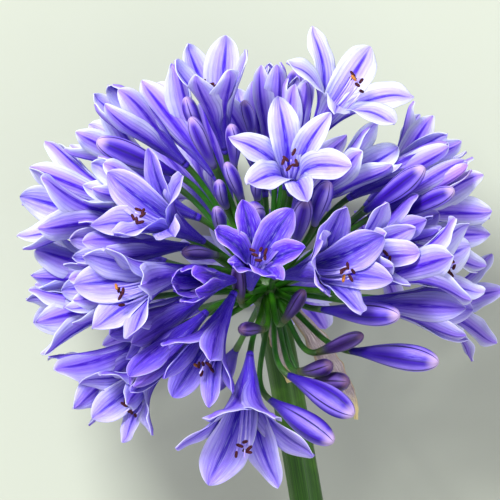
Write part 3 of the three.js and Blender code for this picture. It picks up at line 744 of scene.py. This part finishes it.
def bud_material(name, small):
    """A closed bud: three broad tepals with a dark band each, and pale rims where they meet."""
    n = Nodes(name, roughness=0.4, specular=0.4, subsurface=0.08)
    u, v = n.map("Pattern")
    aside = n.from_middle(n.math("FRACT", n.times(u, 3.0)))
    streak = n.noise(5.0, 3.0, n.combine(n.times(u, 26.0), n.times(v, 1.4)))
    if small:
        purple = n.map("Tint")[0]
        base = n.mix(purple, linear(132, 124, 176), linear(76, 92, 30))
        belly = n.mix(purple, linear(84, 50, 196), linear(44, 18, 86))
        pale = n.mix(purple, linear(186, 168, 246), linear(104, 78, 158))
        tip = n.mix(purple, linear(190, 160, 206), linear(112, 80, 112))
        dark = n.mix(purple, linear(48, 18, 134), linear(24, 6, 44))
    else:
        base = linear(36, 10, 136)
        belly = linear(56, 20, 164)
        pale = linear(152, 128, 242)
        tip = linear(208, 182, 216)
        dark = linear(24, 6, 86)
    body = n.mix(n.step(v, 0.02, 0.35), base, belly)
    rising = n.step(v, 0.15, 0.6)
    body = n.mix(n.times(n.step(aside, 0.2, 0.75, 0.0, 0.85), rising), body, pale)
    body = n.mix(n.times(n.step(aside, 0.0, 0.16, 0.7, 0.0), rising), body, dark)
    body = n.mix(n.times(n.step(streak, 0.45, 0.7), 0.4), body, belly)
    body = n.mix(n.times(n.step(v, 0.88, 1.0), 0.75), body, tip)
    body = n.mix(n.times(n.step(aside, 0.88, 0.98), n.step(v, 0.1, 0.5)), body, dark)
    n.bump(streak, 0.5, 0.0004)
    return n.colour(body)


def stalk_material(name, colours, specular=0.5, end=None):
    """A green stalk with fine streaks along it. end is the colour towards its far end."""
    n = Nodes(name, roughness=0.38, specular=specular, subsurface=0.05)
    u, v = n.map("Pattern")
    streak = n.noise(4.0, 4.0, n.combine(n.times(u, 22.0), n.times(v, 2.2)))
    patch = n.noise(60.0, 3.0)
    dark, middle, bright = colours
    body = n.mix(n.step(streak, 0.3, 0.7), dark, middle)
    body = n.mix(n.times(n.step(patch, 0.45, 0.75), 0.6), body, bright)
    if end:
        body = n.mix(n.step(v, 0.72, 1.0), body, end)
    n.bump(streak, 0.5, 0.0003)
    return n.colour(body)


def bract_material():
    """Dry and papery, with brown lines and patches, and a yellow rim and tip."""
    n = Nodes("dry_bract", roughness=0.75, specular=0.2)
    u, v = n.map("Pattern")
    lines = n.noise(7.0, 4.0, n.combine(n.times(u, 14.0), n.times(v, 1.2)))
    patch = n.noise(220.0, 3.0)
    body = n.mix(n.step(lines, 0.35, 0.65), linear(150, 124, 124), linear(240, 230, 222))
    body = n.mix(n.times(n.step(patch, 0.5, 0.8), 0.5), body, linear(168, 140, 156))
    body = n.mix(n.times(n.step(n.from_middle(u), 0.75, 1.0), 0.7), body, linear(226, 196, 132))
    body = n.mix(n.step(v, 0.66, 0.86), body, linear(252, 234, 164))
    n.bump(lines, 0.8, 0.0005)
    return n.colour(body)


def spotted_material(name, first, second, roughness, scale):
    """Fine grains of two colours."""
    n = Nodes(name, roughness=roughness, specular=0.25)
    grain = n.noise(scale, 2.0)
    n.bump(grain, 0.5, 0.0002)
    return n.colour(n.mix(n.step(grain, 0.35, 0.7), first, second))


inside_face = petal_material("petal_inside", True)
outside_face = petal_material("petal_outside", False)
filament = spotted_material("filament", linear(168, 144, 248), linear(222, 214, 255), 0.45, 110.0)
dark_anther = spotted_material("anther_dark", linear(40, 8, 26), linear(88, 30, 38), 0.8, 2600.0)
light_anther = spotted_material("anther_pollen", linear(156, 86, 30), linear(206, 142, 66), 0.85, 2600.0)
bud_skin = bud_material("bud_skin", False)
small_bud_skin = bud_material("small_bud_skin", True)
pedicel_green = stalk_material(
    "pedicel_green",
    (linear(16, 68, 8), linear(42, 120, 12), linear(92, 164, 30)),
    end=linear(52, 84, 32),
)
scape_green = stalk_material(
    "scape_green",
    (linear(26, 62, 8), linear(48, 98, 10), linear(86, 140, 20)),
    specular=0.3,
)
cut_face = spotted_material("cut_face", linear(196, 208, 150), linear(150, 178, 96), 0.6, 1400.0)
dry_bract = bract_material()

# ---- florets
TUBE_ROWS = 8
FREE_ROWS = 28
FINE_STEPS = 80  # along a midrib, four times as many as the solids'
ACROSS = 13  # points across each face of a tepal
TEPAL_THICKNESS = 0.5
NARROWEST = 0.1
TIP_CURL = 46.0  # degrees
TUBE_FOOT = BASE_RADIUS * 0.85
FILAMENT_ROWS = 12
FILAMENT_SIDES = 6
FILAMENT_RADIUS = 0.42
FILAMENT_FOOT = 6.5  # height over the base at which the filaments begin
FILAMENT_REACH = 27.0
FILAMENT_BOW = 6.5
PISTIL_MORE = 2.0
ANTHER_ROWS = 9
ANTHER_SIDES = 8
ANTHER_LENGTH = 3.4
ANTHER_RADIUS = 0.68
COLLAR = ((-2.2, 1.45), (-1.2, 1.6), (0.0, 1.68), (1.8, 1.45))  # height and radius of each ring
COLLAR_SIDES = 18
TUBE_FLOOR = ((4.0, 2.2), (4.4, 0.02))
TUBE_FLOOR_SIDES = 12
THROAT_TINT = (0.6, 0)
BLOOM_MATERIALS = (inside_face, outside_face, filament, dark_anther, light_anther)
INSIDE, OUTSIDE, FILAMENT, DARK_ANTHER, LIGHT_ANTHER = range(len(BLOOM_MATERIALS))
# florets with near neighbours, whose tepals follow the solids' without a curl or a turn of their own
CALM = [f"half_open_floret_{k}" for k in (3, 4, 5, 6, 7, 8)]
CALM += [f"open_floret_{k}" for k in (6, 10, 16, 23, 24, 27)] + ["inner_floret_1"]
# florets that lie against a neighbour, and how much slimmer than the solids' they are
SLIM = {f"half_open_floret_{k}": 0.84 for k in (4, 5, 6, 8)}
SLIM |= {"half_open_floret_3": 0.74, "open_floret_24": 0.93}


def petal_half_width(floret, tepal, t):
    """Half of a tepal's breadth: fuller low down than the solid's, and drawn to a point at the tip."""
    widest = (OUTER_HALF_WIDTH if tepal % 2 else INNER_HALF_WIDTH) * floret["size"]
    swell = 0.55 + 0.45 * np.sin(np.minimum(t / 0.5, 1) * np.pi / 2)
    power, root = (2.1, 0.76) if tepal % 2 else (2.4, 0.64)
    taper = np.maximum(1 - np.maximum((t - 0.55) / 0.45, 0) ** power, 0) ** root
    fuller = 0.98 + 0.16 * smooth(floret["open"], 0.3, 0.45) - 0.18 * smooth(floret["open"], 0.7, 0.95)
    return np.maximum(widest * fuller * swell * taper, NARROWEST)


def joined_half_width(out):
    """Half of a tepal's breadth where it has grown together with the next ones."""
    return out * math.pi / TEPALS * 1.04


def tepal_rows(floret, tepal):
    """Arrays down a tepal from the floret's base to its tip.

    They are how far out and up it is, its slope, half its breadth, the share of the whole length
    and the share of the free part's length.
    """
    calm = floret["name"] in CALM
    curl = TIP_CURL * (chance(floret["seed"] * 1.7 + tepal) - 0.32) * smooth(floret["open"], 0.3, 0.8)
    rib = midrib(floret, tepal, FINE_STEPS, 0.0 if calm else float(curl))
    x = np.linspace(0, 1, FREE_ROWS)
    t = 1 - (1 - x) ** 1.35
    out, up, angle = (np.interp(t * FINE_STEPS, np.arange(FINE_STEPS + 1), line) for line in rib)
    slimmer = 1 - SLIM.get(floret["name"], 1.0)
    out = out * (1 - slimmer * smooth(t, 0, 0.3))
    wide = petal_half_width(floret, tepal, t)
    if calm:
        wide = np.minimum(wide, np.maximum(free_half_width(floret, tepal, t) * 0.97, NARROWEST))
    joined = joined_half_width(out)
    half = joined + (wide - joined) * smooth(t, 0, 0.22)
    half = np.minimum(half, out * 1.3 + 0.6)
    x = np.linspace(0, 1, TUBE_ROWS, endpoint=False)
    tube_out = TUBE_FOOT + (THROAT_RADIUS - TUBE_FOOT) * (0.75 * x + 0.25 * x * x)
    tube_angle = np.full(TUBE_ROWS, math.radians(THROAT_SLOPE))
    share = TUBE_LENGTH / (TUBE_LENGTH + TEPAL_LENGTH)
    tube_and_free = (
        (tube_out, out),
        (TUBE_LENGTH * x, up),
        (tube_angle, angle),
        (joined_half_width(tube_out), half),
        (share * x, share + (1 - share) * t),
        (x * 0, t),
    )
    return [np.concatenate(parts) for parts in tube_and_free]


def add_tepal(build, floret, tepal):
    """A tepal: a bent blade with a groove down its middle, rippled edges and a hooded tip."""
    out, up, angle, half, along, t = tepal_rows(floret, tepal)
    seed = floret["seed"] * 3.1 + tepal * 1.9
    calm = floret["name"] in CALM
    is_open = 0.0 if calm else float(smooth(floret["open"], 0.3, 0.75))
    across, face = two_faces(ACROSS)
    # each row is bent round the floret's axis, and less where an open tepal leans out
    circle = 1 / np.maximum(out, 2.2)
    spread = (0.5 + 0.5 * np.cos(angle)) / np.maximum(out, 3.0) * (1 - 0.45 * smooth(t, 0.45, 1))
    bend = circle + (spread - circle) * is_open
    turn = across[None, :] * (half * bend)[:, None]
    sideways = np.sin(turn) / bend[:, None]
    lift = (1 - np.cos(turn)) / bend[:, None]
    # what is raised or sunk from that bend
    groove = 0.6 * np.exp(-((across / 0.17) ** 2))[None, :] * smooth(along, 0.05, 0.4)[:, None]
    ripple_a = np.sin(2 * math.pi * (1.7 * t[:, None] + chance(seed) + 0.5 * (across[None, :] > 0)))
    ripple_b = np.sin(2 * math.pi * (3.9 * t[:, None] + chance(seed + 0.5)))
    rising = smooth(t, 0.12, 0.55)[:, None] * (0.25 + 0.75 * is_open) * (0.5 + chance(seed + 1.6))
    ripple = (0.75 * ripple_a + 0.3 * ripple_b) * np.abs(across[None, :]) ** 2.2 * rising
    twist = (chance(seed + 0.9) - 0.5) * 0.7 * is_open
    lean = twist * across[None, :] * (half * t)[:, None]
    layer = (0.34 if tepal % 2 == 0 else -0.34) * (smooth(along, 0.2, 0.4) * (1 - smooth(t, 0.55, 0.9)))
    hood = 0.9 * smooth(t, 0.86, 1.0) ** 2
    depth = TEPAL_THICKNESS / 2 * face * (1 - 0.6 * across**4)
    raised = lift - groove + ripple + lean + (layer + hood)[:, None] + depth[None, :]
    own_turn = 0.0 if calm else math.radians((chance(seed + 0.2) - 0.5) * 9)
    around = math.radians(floret["roll"]) + tepal * 2 * math.pi / TEPALS + own_turn * t[:, None]
    radial = out[:, None] - np.cos(angle)[:, None] * raised
    height = up[:, None] + np.sin(angle)[:, None] * raised
    local = np.stack(
        [
            np.cos(around) * radial - np.sin(around) * sideways,
            np.sin(around) * radial + np.cos(around) * sideways,
            height,
        ],
        -1,
    )
    uv = map_of(0.5 + 0.5 * np.append(across, across[0]), along)
    slots = np.repeat([INSIDE, OUTSIDE], ACROSS)
    # the floret's depth with a little random change for each tepal; the depth is partly the floret's own
    # deeper violet and partly painted shade
    tint = (floret["depth"] + 0.16 * (chance(seed + 0.7) - 0.5), floret["pink"] * chance(seed + 1.3))
    build.grid(world(floret, local), uv, slots, np.clip(tint, 0, 1), flip=True)


def add_anther(build, tip, end, seed):
    """An anther that lies across the tip of its filament, whose end points along end."""
    aside = np.array([chance(seed + 1.1) - 0.5, chance(seed + 1.7) - 0.5, chance(seed + 2.3) - 0.5])
    lies = unit(unit(np.cross(end, unit(aside))) + 0.35 * end)
    x = np.linspace(-0.985, 0.985, ANTHER_ROWS)
    line = tip + end * 0.3 + lies[None, :] * (x * ANTHER_LENGTH / 2)[:, None]
    swell = ANTHER_RADIUS * (1 - np.abs(x) ** 3.2) ** 0.5
    slot = LIGHT_ANTHER if chance(seed + 3.1) > 0.86 else DARK_ANTHER
    build.grid(sweep(line, swell, ANTHER_SIDES), wrapped_map(ANTHER_ROWS, ANTHER_SIDES), slot)


def add_stamens(build, floret):
    """Six stamens that bow to the side which hung lowest on the plant, and a pistil among them."""
    hanging = np.array([floret["side"][1], floret["up"][1]]) * -1
    hanging = hanging * min(1.0, 1.2 * np.linalg.norm(hanging)) / max(np.linalg.norm(hanging), 1e-6)
    s = np.linspace(0, 1, FILAMENT_ROWS)
    mapped = wrapped_map(FILAMENT_ROWS, FILAMENT_SIDES)
    for k in range(TEPALS + 1):
        seed = floret["seed"] * 5.3 + k * 2.7
        pistil = k == TEPALS
        turn = math.radians(floret["roll"]) + (k + 0.5) * math.pi / 3
        way = np.array([math.cos(turn), math.sin(turn)]) * (0.1 if pistil else 1)
        reach = (FILAMENT_REACH + 4 * chance(seed) + (PISTIL_MORE if pistil else 0)) * floret["size"]
        reach *= 0.72 + 0.28 * min(1, floret["open"] / 0.8)
        bow = FILAMENT_BOW * (1.25 * s**1.6 - 0.62 * s**4) * (0.8 + 0.4 * chance(seed + 0.3))
        flat = way[None, :] * (0.9 + (0.9 + 2.4 * chance(seed + 0.6)) * s)[:, None]
        flat = flat + hanging[None, :] * bow[:, None]
        path = world(floret, np.column_stack([flat, FILAMENT_FOOT + s * reach]))
        radii = FILAMENT_RADIUS * (1.15 - 0.45 * s)
        build.grid(sweep(path, radii, FILAMENT_SIDES), mapped, FILAMENT)
        if not pistil:
            add_anther(build, path[-1], unit(path[-1] - path[-2]), seed)


def add_rings(build, floret, rings, sides, slot):
    """A closed form round a floret's axis, from the height and radius of each ring."""
    heights, radii = np.array(rings).T
    line = np.outer(heights, [0, 0, 1])
    mapped = wrapped_map(len(rings), sides, np.zeros(len(rings)))
    build.grid(sweep(world(floret, line), radii, sides), mapped, slot, THROAT_TINT)


def add_throat(build, floret):
    """A short collar at the tube's foot, which meets the pedicel, and the floor of the tube."""
    add_rings(build, floret, COLLAR, COLLAR_SIDES, OUTSIDE)
    add_rings(build, floret, TUBE_FLOOR, TUBE_FLOOR_SIDES, INSIDE)


for floret in florets:
    bloom = Build()
    for tepal in range(TEPALS):
        add_tepal(bloom, floret, tepal)
    add_throat(bloom, floret)
    if floret["open"] > 0.4:
        add_stamens(bloom, floret)
    ground = SURFACE_GAP if floret["base"][2] < 0 else None
    bloom.piece(floret["name"] + "_bloom", BLOOM_MATERIALS, [floret["name"]], ground)

# ---- buds
BUD_ROWS = 26
BUD_SIDES = 42
SMALL_BUD_SIDES = 30
SMALL_BUD_SWELL = 1.12


def bud_shape(turn, roll):
    """A bud's ribs: three seams with a broad swelling between them."""
    turn = turn + roll
    seam = np.abs((turn * 3 / (2 * math.pi)) % 1 - 0.5) * 2
    return 1.015 + 0.03 * np.cos(6 * turn) - 0.08 * smooth(seam, 0.8, 1.0)


def add_bud(build, bud, sides=BUD_SIDES, purple=0.0, swell=1.0):
    """A closed bud. purple is how brown its violet is, and swell how much fuller than the solid's it is."""
    s = np.sin(np.linspace(0, 1, BUD_ROWS) * math.pi / 2) ** 0.9
    lean = np.array([chance(bud["length"] * 1.3 + bud["base"][0]) - 0.5, chance(bud["base"][1]) - 0.5])
    local = np.column_stack([np.outer(np.sin(s * math.pi) * 1.4, lean), s * bud["length"]])
    radii = np.maximum(bud_radius(bud, s) * swell, 0.01)
    roll = chance(bud["base"][0] + bud["length"]) * 2 * math.pi
    rings = sweep(world(bud, local), radii, sides, bud["side"], lambda turn: bud_shape(turn, roll))
    mapped = wrapped_map(BUD_ROWS, sides, s)
    mapped[:, :, 0] += roll / (2 * math.pi)
    build.grid(rings, mapped, 0, (purple, 0))


for bud in buds:
    shell = Build()
    add_bud(shell, bud)
    ground = SURFACE_GAP if bud["base"][2] < 0 else None
    shell.piece(bud["name"] + "_shell", (bud_skin,), [bud["name"]], ground)
clutch = Build()
for bud in small_buds:
    # the ones towards the top are violet like the florets round them, and the low ones brown-purple
    purple = float(smooth(-bud["base"][1], -26, -8))
    add_bud(clutch, bud, SMALL_BUD_SIDES, purple, SMALL_BUD_SWELL)
clutch.piece("small_buds", (small_bud_skin,), ())

# ---- stem
PEDICEL_ROWS = 18
PEDICEL_SIDES = 10
PEDICEL_SINK = 0.6  # how far a pedicel goes into its floret or bud
SCAPE_ROWS = 70
SCAPE_SIDES = 56
KNOB_ROWS = 20
KNOB_SIDES = 30
KNOB_ALONG = (-0.1, 1.0, 0.15)
STEM_MATERIALS = (pedicel_green, scape_green, cut_face)
PEDICEL, SCAPE, CUT = range(len(STEM_MATERIALS))


def add_pedicel(build, plant):
    """A stalk that leaves the hub straight outward, and meets its floret or bud in line with it."""
    outward = unit(plant["base"])
    reach = np.linalg.norm(plant["base"])
    end = plant["base"] + plant["along"] * PEDICEL_SINK
    handles = [
        outward * HUB_RADIUS * 0.8,
        outward * reach * 0.5,
        end - plant["along"] * reach * 0.28,
        end,
    ]
    path = bezier(handles, PEDICEL_ROWS)
    s = np.linspace(0, 1, PEDICEL_ROWS)
    radii = PEDICEL_RADIUS * (1 + 0.35 * (1 - s) ** 5 + 0.3 * s**6)
    build.grid(sweep(path, radii, PEDICEL_SIDES), wrapped_map(PEDICEL_ROWS, PEDICEL_SIDES), PEDICEL)


def scape_shape(turn):
    return 1 - 0.018 + 0.018 * np.cos(7 * turn) + 0.01 * np.cos(3 * turn + 1)


def knob_shape(turn):
    return 0.97 + 0.03 * np.cos(9 * turn)


def add_scape(build):
    """The faintly ridged scape, from the hub down to its cut end on the floor."""
    drop = CUT_RADIUS * 0.9 - HUB_HEIGHT
    handles = [
        (0, 2, 0),
        (SCAPE_SWAY * 0.45, -SCAPE_REACH * 0.33, drop * 0.3),
        (SCAPE_SWAY * 0.9, -SCAPE_REACH * 0.66, drop * 0.66),
        (SCAPE_SWAY, -SCAPE_REACH, drop),
    ]
    path = bezier(handles, SCAPE_ROWS)
    radii = SCAPE_RADIUS + (CUT_RADIUS - SCAPE_RADIUS) * np.linspace(0, 1, SCAPE_ROWS)
    rings = sweep(path, radii, SCAPE_SIDES, shape=scape_shape)
    build.grid(rings, wrapped_map(SCAPE_ROWS, SCAPE_SIDES), SCAPE, closed=False)
    build.cap(rings[0], SCAPE, flip=True)
    build.cap(rings[-1], CUT)


def add_knob(build):
    """The hub: the knob at the scape's top, on which the pedicels stand."""
    s = np.linspace(-0.99, 0.99, KNOB_ROWS)
    path = np.outer(s, unit(np.array(KNOB_ALONG))) * HUB_RADIUS
    rings = sweep(path, HUB_RADIUS * np.sqrt(1 - s**2), KNOB_SIDES, shape=knob_shape)
    build.grid(rings, wrapped_map(KNOB_ROWS, KNOB_SIDES), SCAPE)


stem = Build()
for plant in everyone:
    add_pedicel(stem, plant)
add_scape(stem)
add_knob(stem)
stem.piece("scape_with_pedicels", STEM_MATERIALS, ["scape_and_pedicels"], 0.0)

# ---- bracts
BRACT_ROWS = 40
BRACT_COLUMNS = 13
BRACT_HALF_THICKNESS = 0.15


def smooth_path(points, count):
    """A curve through all the points."""
    p = np.asarray(points, float)
    p = np.vstack([2 * p[0] - p[1], p, 2 * p[-1] - p[-2]])
    made = []
    for x in np.linspace(0, len(points) - 1, count):
        i = min(int(x), len(points) - 2)
        f = x - i
        a, b, c, d = p[i : i + 4]
        bent = 2 * b + (c - a) * f + (2 * a - 5 * b + 4 * c - d) * f**2 + (3 * b - a - 3 * c + d) * f**3
        made.append(bent / 2)
    return np.array(made)


def add_bract(build, row, seed):
    """A thin sheath with a torn outline, folded along its length and curled back at its edges."""
    path = smooth_path(row["points"], BRACT_ROWS)
    along = unit(np.gradient(path, axis=0))
    across = unit(np.cross(along, np.asarray(row["facing"], float)))
    outward = np.cross(across, along)
    s = np.linspace(0, 1, BRACT_ROWS)
    half = np.interp(s, np.linspace(0, 1, len(row["widths"])), row["widths"]) / 2
    side, face = two_faces(BRACT_COLUMNS)
    torn = 1 + 0.07 * np.sin(s * 31 + seed) + 0.05 * np.sin(s * 57 + 2 * seed)
    width = half * torn
    long_folds = 0.28 * np.sin(side[None, :] * 9 + 5 * s[:, None] + seed)
    cross_folds = 0.16 * np.sin(s[:, None] * 40 + side * 3)
    folds = (long_folds + cross_folds) * np.minimum(1, half / 2)[:, None]
    curled = row["cup"] * half[:, None] * (side**2)[None, :]
    lift = folds - curled + BRACT_HALF_THICKNESS * face[None, :]
    points = (
        path[:, None, :]
        + across[:, None, :] * (side[None, :] * width[:, None])[:, :, None]
        + outward[:, None, :] * lift[:, :, None]
    )
    build.grid(points, map_of(0.5 + 0.5 * np.append(side, side[0]), s), 0)


for i, row in enumerate(BRACTS):
    sheath = Build()
    add_bract(sheath, row, i + 1.0)
    sheath.piece(f"bract_{i + 1}_sheath", (dry_bract,), [f"bract_{i + 1}"])

# ---- floor, light and camera
FLOOR_HALF = 8.0
CORNERS = ((-1, -1), (1, -1), (1, 1), (-1, 1))
CAMERA_DISTANCE = 2.4  # over the hub, so that near and far florets show at almost one scale
VIEW_WIDTH = 0.204  # what the picture's width takes in at the hub
VIEW_MIDDLE = (-0.0074, 0.016)  # where the picture's middle is, from the hub
SENSOR_WIDTH = 36.0

floor_mesh = bpy.data.meshes.new("floor")
floor_points = [(x * FLOOR_HALF, y * FLOOR_HALF, 0.0) for x, y in CORNERS]
floor_mesh.from_pydata(floor_points, [], [(0, 1, 2, 3)])
floor = bpy.data.objects.new("floor", floor_mesh)
bpy.context.scene.collection.objects.link(floor)
floor_nodes = Nodes("plain_floor", roughness=0.85, specular=0.15)
floor_grain = floor_nodes.noise(3.0, 2.0)
floor_mesh.materials.append(
    floor_nodes.colour(floor_nodes.mix(floor_grain, linear(174, 181, 164), linear(181, 187, 171)))
)


def area_light(name, place, energy, size, colour):
    """A soft lamp that points at the flower head and isn't seen itself."""
    data = bpy.data.lights.new(name, "AREA")
    data.energy = energy
    data.size = size
    data.color = colour
    lamp = bpy.data.objects.new(name, data)
    lamp.location = place
    target = Vector((0.0, 0.06, 0.08))
    lamp.rotation_euler = (target - Vector(place)).to_track_quat("-Z", "Y").to_euler()
    lamp.visible_camera = False
    bpy.context.scene.collection.objects.link(lamp)


area_light("key", (-0.5, 0.9, 1.4), 38.0, 0.5, (0.98, 0.98, 1.0))
area_light("fill", (0.9, -0.5, 1.2), 7.0, 1.0, (0.95, 0.97, 1.0))
sky = bpy.data.worlds.new("studio")
sky.use_nodes = True
sky.node_tree.nodes["Background"].inputs["Color"].default_value = (0.96, 0.92, 1.0, 1.0)
sky.node_tree.nodes["Background"].inputs["Strength"].default_value = 0.74
bpy.context.scene.world = sky
bpy.context.scene.view_settings.view_transform = "Standard"

lens = bpy.data.cameras.new("camera")
lens.sensor_width = SENSOR_WIDTH
lens.lens = SENSOR_WIDTH * CAMERA_DISTANCE / VIEW_WIDTH
lens.clip_start = 0.1
lens.clip_end = 20.0
camera = bpy.data.objects.new("camera", lens)
camera.location = HUB * MM + np.array([*VIEW_MIDDLE, CAMERA_DISTANCE])
bpy.context.scene.collection.objects.link(camera)
bpy.context.scene.camera = camera
